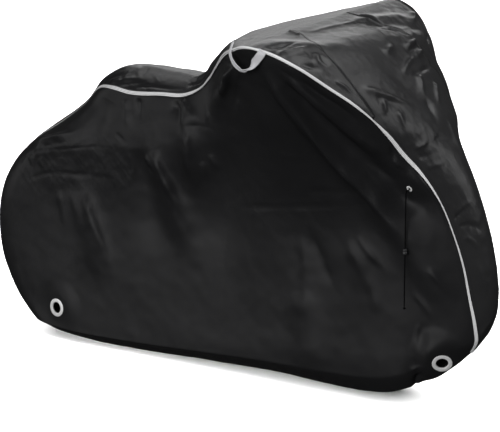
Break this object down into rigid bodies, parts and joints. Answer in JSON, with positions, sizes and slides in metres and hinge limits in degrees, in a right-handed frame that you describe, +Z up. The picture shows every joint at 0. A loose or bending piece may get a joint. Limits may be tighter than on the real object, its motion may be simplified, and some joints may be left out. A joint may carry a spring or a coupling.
{
  "type": "bicycle cover",
  "caption": "Fitted cloth cover shaped over a bicycle's handlebar and saddle, open underneath, with taped seams, a strap loop, hem eyelets and a draw cord.",
  "frame": {"origin": "where the cover rests on the middle of the handlebar, on the underside of its ridge", "axes": "+X towards the front wheel, +Y to the side without the strap loop, +Z up"},
  "size_m": [1.986, 0.8721, 1.2018],
  "materials": {
    "cloth": "black coated polyester, faint sheen",
    "shield_cloth": "black coated polyester, a shade lighter and stiffer",
    "reflective_tape": "silver grey reflective tape, ribbed",
    "webbing": "pale woven webbing",
    "ring_metal": "pale satin metal, rounded edge",
    "cord": "black braided cord",
    "lock_plastic": "black matte plastic"
  },
  "bodies": {
    "root": {"side_panel_near": "cloth", "side_panel_far": "cloth", "top_strip": "cloth", "front_shield": "shield_cloth", "wedge_near": "cloth", "wedge_far": "cloth", "tape_near": "reflective_tape", "tape_far": "reflective_tape", "strap_loop": "webbing", "eyelet_near_rear": "ring_metal", "eyelet_near_front": "ring_metal", "eyelet_far_rear": "ring_metal", "eyelet_far_front": "ring_metal", "cord_ring": "ring_metal", "draw_cord": "cord", "cord_lock": "lock_plastic", "cord_knot": "cord"}
  },
  "joints": []
}
